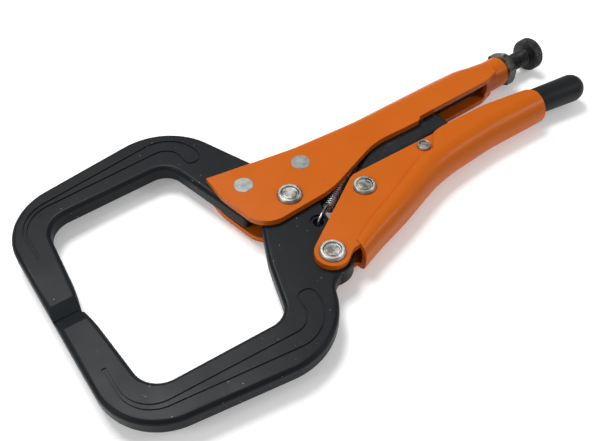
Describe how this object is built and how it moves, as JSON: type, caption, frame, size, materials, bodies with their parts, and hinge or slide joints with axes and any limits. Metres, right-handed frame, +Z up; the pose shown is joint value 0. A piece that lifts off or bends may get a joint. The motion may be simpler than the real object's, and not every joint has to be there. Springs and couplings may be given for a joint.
{
  "type": "C-frame locking pliers",
  "caption": "Locking pliers with a deep C-shaped clamping frame, over-centre toggle, adjusting screw and release lever.",
  "frame": {"origin": "centre of the overall plan, on the plane the tool lies on", "axes": "+X from the jaw tips to the handle ends, +Y from the moving jaw to the fixed jaw, +Z up through the flat of the tool"},
  "size_m": [0.2536, 0.1306, 0.0172],
  "materials": {
    "orange_enamel": "glossy",
    "black_enamel": "satin",
    "pivot_steel": "satin",
    "ground_steel": "satin",
    "dark_link_steel": "satin",
    "soft_sleeve": "matte",
    "black_oxide": "satin",
    "spring_wire": "satin"
  },
  "bodies": {
    "frame_body": {"upper_handle": "orange_enamel", "fixed_jaw": "black_enamel", "jaw_pivot_rivet": "pivot_steel", "front_jaw_rivet": "ground_steel", "rear_jaw_rivet": "ground_steel", "end_nut": "black_oxide", "return_spring": "spring_wire"},
    "jaw_body": {"moving_jaw": "black_enamel"},
    "handle_body": {"lower_handle": "orange_enamel", "handle_pivot_rivet": "pivot_steel", "link_pivot_rivet": "pivot_steel", "lever_pivot_rivet": "pivot_steel"},
    "link_body": {"toggle_link": "dark_link_steel"},
    "lever_body": {"release_lever": "dark_link_steel", "lever_tip_sleeve": "soft_sleeve"},
    "screw_body": {"adjusting_screw": "black_oxide"},
    "knob_body": {"screw_knob": "black_oxide"}
  },
  "joints": [
    {"name": "jaw_pivot", "type": "hinge", "parent": "frame_body", "child": "jaw_body", "pos_m": [-0.02577, -0.00002, 0.0086], "axis": [0, 0, 1], "range_deg": [0, 18], "deforming": ["return_spring"]},
    {"name": "handle_pivot", "type": "hinge", "parent": "jaw_body", "child": "handle_body", "pos_m": [-0.02837, -0.03261, 0.0086], "axis": [0, 0, 1], "range_deg": [-60, 0]},
    {"name": "link_pivot", "type": "hinge", "parent": "handle_body", "child": "link_body", "pos_m": [0.00153, -0.01291, 0.0086], "axis": [0, 0, 1], "range_deg": [0, 68.4]},
    {"name": "lever_pivot", "type": "hinge", "parent": "handle_body", "child": "lever_body", "pos_m": [0.03583, -0.00872, 0.0086], "axis": [0, 0, 1], "range_deg": [0, 6.5]},
    {"name": "screw_feed", "type": "slide", "parent": "frame_body", "child": "screw_body", "axis": [0.9986, 0.0523, 0], "range_m": [0, 0.012]},
    {"name": "knob_turn", "type": "hinge", "parent": "screw_body", "child": "knob_body", "pos_m": [0.1198, 0.01603, 0.0086], "axis": [0.9986, 0.0523, 0], "range_deg": [0, 3456]}
  ],
  "couplings": [
    {"joint": "handle_pivot", "follows": "jaw_pivot", "ratio": -3.3333},
    {"joint": "link_pivot", "follows": "jaw_pivot", "ratio": 3.8},
    {"joint": "screw_feed", "follows": "knob_turn", "m_per_rad": 0.00019894}
  ]
}
